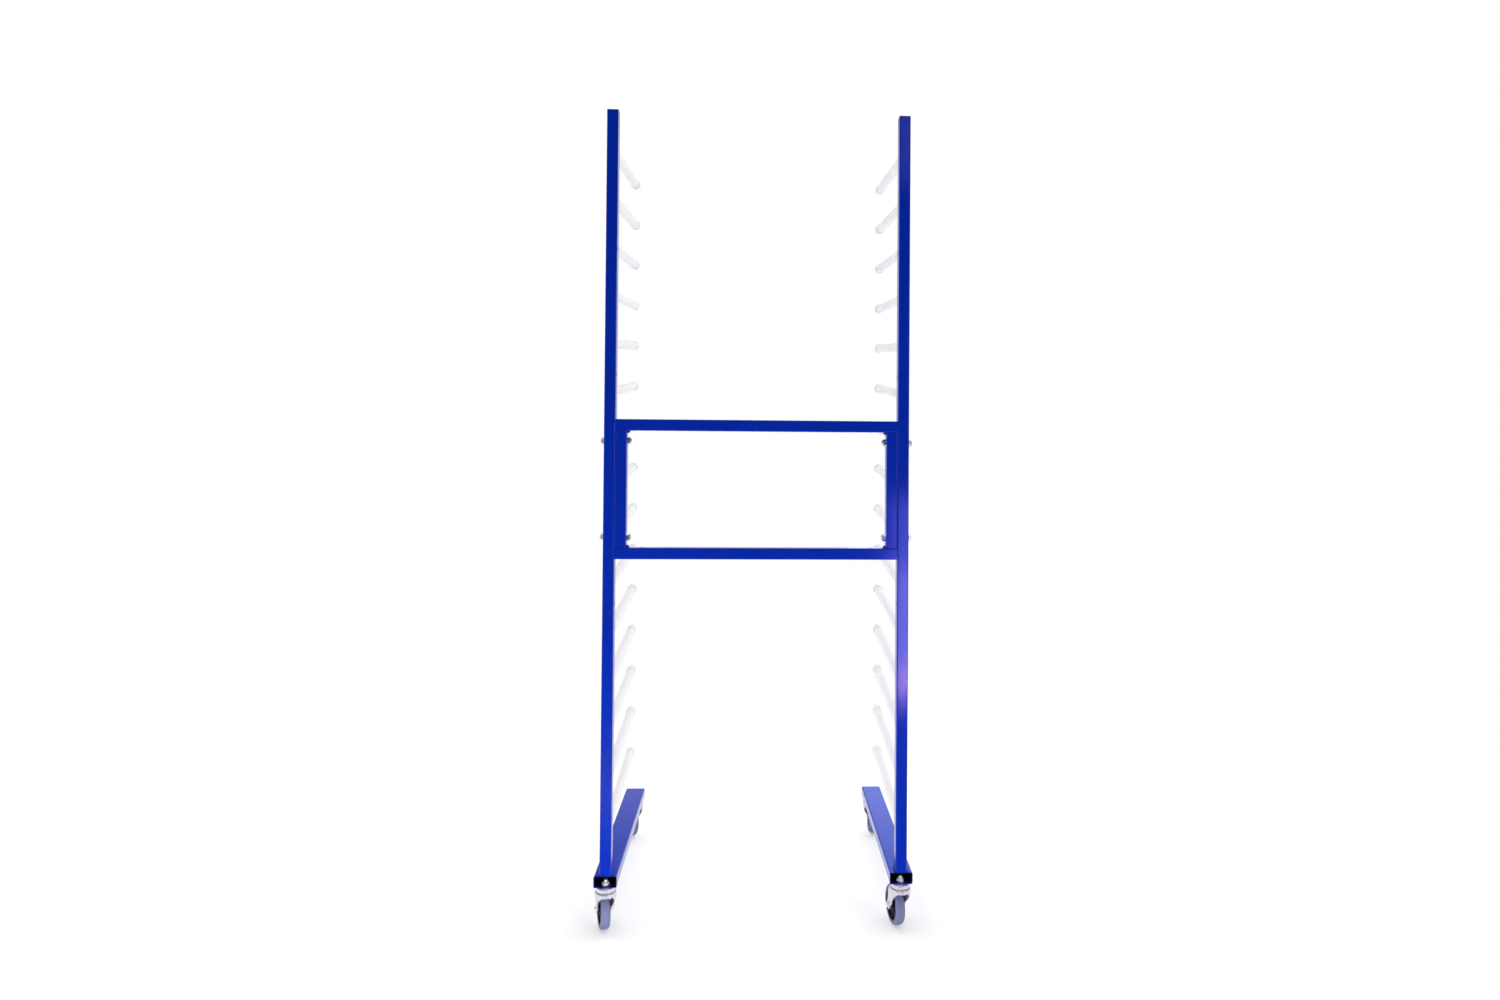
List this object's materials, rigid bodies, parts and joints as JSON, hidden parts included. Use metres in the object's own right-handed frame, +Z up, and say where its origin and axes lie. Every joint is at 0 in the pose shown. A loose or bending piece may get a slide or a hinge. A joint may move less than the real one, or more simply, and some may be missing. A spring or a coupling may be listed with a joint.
{
  "type": "mobile drying rack",
  "caption": "Tall single-sided rolling rack: blue tube uprights on foot beams, a bolted cross frame, rows of white sleeved arms and swivel castors.",
  "frame": {"origin": "on the floor, under the middle of the rack's outline seen from above", "axes": "+Z up, +X from the left upright to the right one, +Y from the uprights' front faces towards the tips of the arms"},
  "size_m": [0.8643, 0.6836, 2.151],
  "materials": {
    "blue_powder_coat": "satin-gloss powder coat",
    "white_sleeve": "smooth white PVC tube",
    "grey_cap": "soft grey moulded plastic",
    "black_plug": "moulded plastic, slight gloss",
    "zinc_hardware": "bright zinc plate",
    "chrome_nut": "bright chrome",
    "zinc_castor": "pressed steel, zinc plated",
    "black_wheel_core": "moulded black polypropylene",
    "grey_tyre": "grey thermoplastic rubber"
  },
  "bodies": {
    "rack": {"left_upright": "blue_powder_coat", "right_upright": "blue_powder_coat", "left_foot_beam": "blue_powder_coat", "right_foot_beam": "blue_powder_coat", "frame_top_rail": "blue_powder_coat", "frame_bottom_rail": "blue_powder_coat", "frame_left_post": "blue_powder_coat", "frame_right_post": "blue_powder_coat", "left_arm_bars": "blue_powder_coat", "right_arm_bars": "blue_powder_coat", "left_arm_end_caps": "grey_cap", "right_arm_end_caps": "grey_cap", "arm_sleeves_01": "white_sleeve", "arm_sleeves_02": "white_sleeve", "arm_sleeves_03": "white_sleeve", "arm_sleeves_04": "white_sleeve", "arm_sleeves_05": "white_sleeve", "arm_sleeves_06": "white_sleeve", "arm_sleeves_07": "white_sleeve", "arm_sleeves_08": "white_sleeve", "arm_sleeves_09": "white_sleeve", "arm_sleeves_10": "white_sleeve", "arm_sleeves_11": "white_sleeve", "arm_sleeves_12": "white_sleeve", "arm_sleeves_13": "white_sleeve", "arm_sleeves_14": "white_sleeve", "arm_sleeves_15": "white_sleeve", "upright_top_plugs": "black_plug", "frame_bolts": "zinc_hardware", "frame_washers": "zinc_hardware", "frame_dome_nuts": "chrome_nut", "castor_top_races": "zinc_castor", "castor_ball_rings": "zinc_hardware", "castor_king_pins": "zinc_hardware", "castor_mounting_bolts": "zinc_hardware", "castor_mounting_nuts": "zinc_hardware"},
    "front_left_castor_fork": {"front_left_fork": "zinc_castor", "front_left_axle_bolt": "zinc_hardware", "front_left_axle_nut": "zinc_hardware", "front_left_axle_bush": "zinc_hardware"},
    "front_left_wheel": {"front_left_wheel_core": "black_wheel_core", "front_left_tyre": "grey_tyre"},
    "front_right_castor_fork": {"front_right_fork": "zinc_castor", "front_right_axle_bolt": "zinc_hardware", "front_right_axle_nut": "zinc_hardware", "front_right_axle_bush": "zinc_hardware"},
    "front_right_wheel": {"front_right_wheel_core": "black_wheel_core", "front_right_tyre": "grey_tyre"},
    "rear_left_castor_fork": {"rear_left_fork": "zinc_castor", "rear_left_axle_bolt": "zinc_hardware", "rear_left_axle_nut": "zinc_hardware", "rear_left_axle_bush": "zinc_hardware"},
    "rear_left_wheel": {"rear_left_wheel_core": "black_wheel_core", "rear_left_tyre": "grey_tyre"},
    "rear_right_castor_fork": {"rear_right_fork": "zinc_castor", "rear_right_axle_bolt": "zinc_hardware", "rear_right_axle_nut": "zinc_hardware", "rear_right_axle_bush": "zinc_hardware"},
    "rear_right_wheel": {"rear_right_wheel_core": "black_wheel_core", "rear_right_tyre": "grey_tyre"}
  },
  "joints": [
    {"name": "front_left_swivel", "type": "hinge", "parent": "rack", "child": "front_left_castor_fork", "pos_m": [-0.385, -0.31625, 0.128], "axis": [0, 0, 1], "continuous": true},
    {"name": "front_left_wheel_spin", "type": "hinge", "parent": "front_left_castor_fork", "child": "front_left_wheel", "pos_m": [-0.39669, -0.278, 0.05], "axis": [0.9563, 0.2924, 0], "continuous": true},
    {"name": "front_right_swivel", "type": "hinge", "parent": "rack", "child": "front_right_castor_fork", "pos_m": [0.385, -0.31625, 0.128], "axis": [0, 0, 1], "continuous": true},
    {"name": "front_right_wheel_spin", "type": "hinge", "parent": "front_right_castor_fork", "child": "front_right_wheel", "pos_m": [0.37805, -0.27686, 0.05], "axis": [0.9848, 0.1736, 0], "continuous": true},
    {"name": "rear_left_swivel", "type": "hinge", "parent": "rack", "child": "rear_left_castor_fork", "pos_m": [-0.385, 0.25375, 0.128], "axis": [0, 0, 1], "continuous": true},
    {"name": "rear_left_wheel_spin", "type": "hinge", "parent": "rear_left_castor_fork", "child": "rear_left_wheel", "pos_m": [-0.40378, 0.28907, 0.05], "axis": [0.8829, 0.4695, 0], "continuous": true},
    {"name": "rear_right_swivel", "type": "hinge", "parent": "rack", "child": "rear_right_castor_fork", "pos_m": [0.385, 0.25375, 0.128], "axis": [0, 0, 1], "continuous": true},
    {"name": "rear_right_wheel_spin", "type": "hinge", "parent": "rear_right_castor_fork", "child": "rear_right_wheel", "pos_m": [0.39998, 0.29084, 0.05], "axis": [0.9272, -0.3746, 0], "continuous": true}
  ]
}
